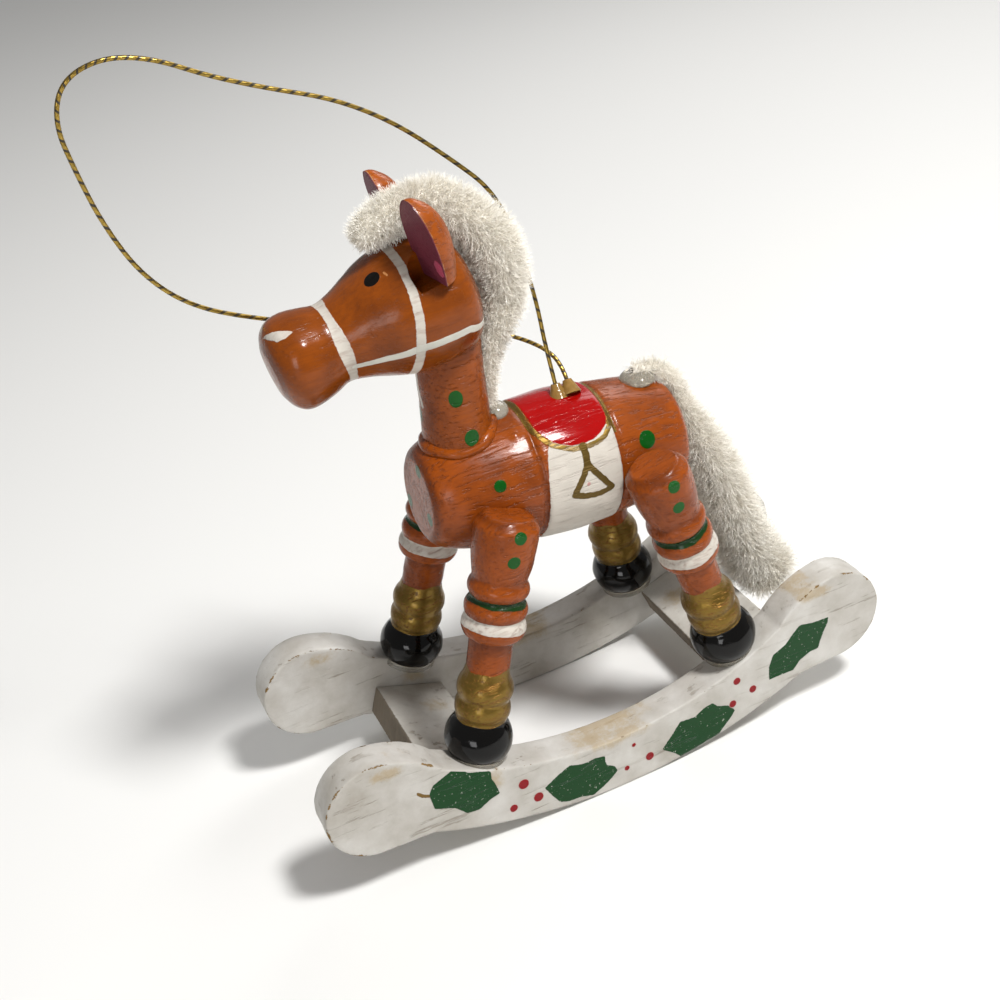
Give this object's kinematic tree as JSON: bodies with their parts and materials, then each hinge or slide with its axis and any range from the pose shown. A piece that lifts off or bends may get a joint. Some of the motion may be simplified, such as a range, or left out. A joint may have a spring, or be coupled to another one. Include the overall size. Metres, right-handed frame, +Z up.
{
  "type": "rocking horse ornament",
  "caption": "Small painted wooden rocking horse on curved plywood rockers, with turned legs, body and head, a chenille mane and tail, and a gold thread loop to hang it by.",
  "frame": {"origin": "midway along the rockers, on the centre plane, at the lowest line of the rocker soles", "axes": "+X towards the nose, +Y to the horse's left, +Z up"},
  "size_m": [0.1085, 0.0416, 0.1313],
  "materials": {
    "white_ply": "aged matt white brush paint over plywood, chipped at the edges",
    "orange_enamel": "orange-brown gloss enamel over turned wood, with painted decoration",
    "chenille": "clipped cream chenille pile, matt",
    "stem_wire": "dark twisted iron wire",
    "gold_thread": "gold metallised thread over a dark core, satin",
    "thread_glue": "set amber glue smeared with gold paint, glossy",
    "clear_glue": "set clear glue, glossy"
  },
  "bodies": {
    "root": {"left_rocker": "white_ply", "right_rocker": "white_ply", "front_cross_board": "white_ply", "rear_cross_board": "white_ply", "body_barrel": "orange_enamel", "neck": "orange_enamel", "neck_collar": "orange_enamel", "head": "orange_enamel", "left_ear": "orange_enamel", "right_ear": "orange_enamel", "front_left_leg": "orange_enamel", "front_right_leg": "orange_enamel", "rear_left_leg": "orange_enamel", "rear_right_leg": "orange_enamel", "hoof_glue": "clear_glue", "mane": "chenille", "mane_wire": "stem_wire", "mane_glue": "clear_glue", "tail": "chenille", "tail_wire": "stem_wire", "tail_glue": "clear_glue", "hanging_cord": "gold_thread", "cord_glue": "thread_glue"}
  },
  "joints": []
}
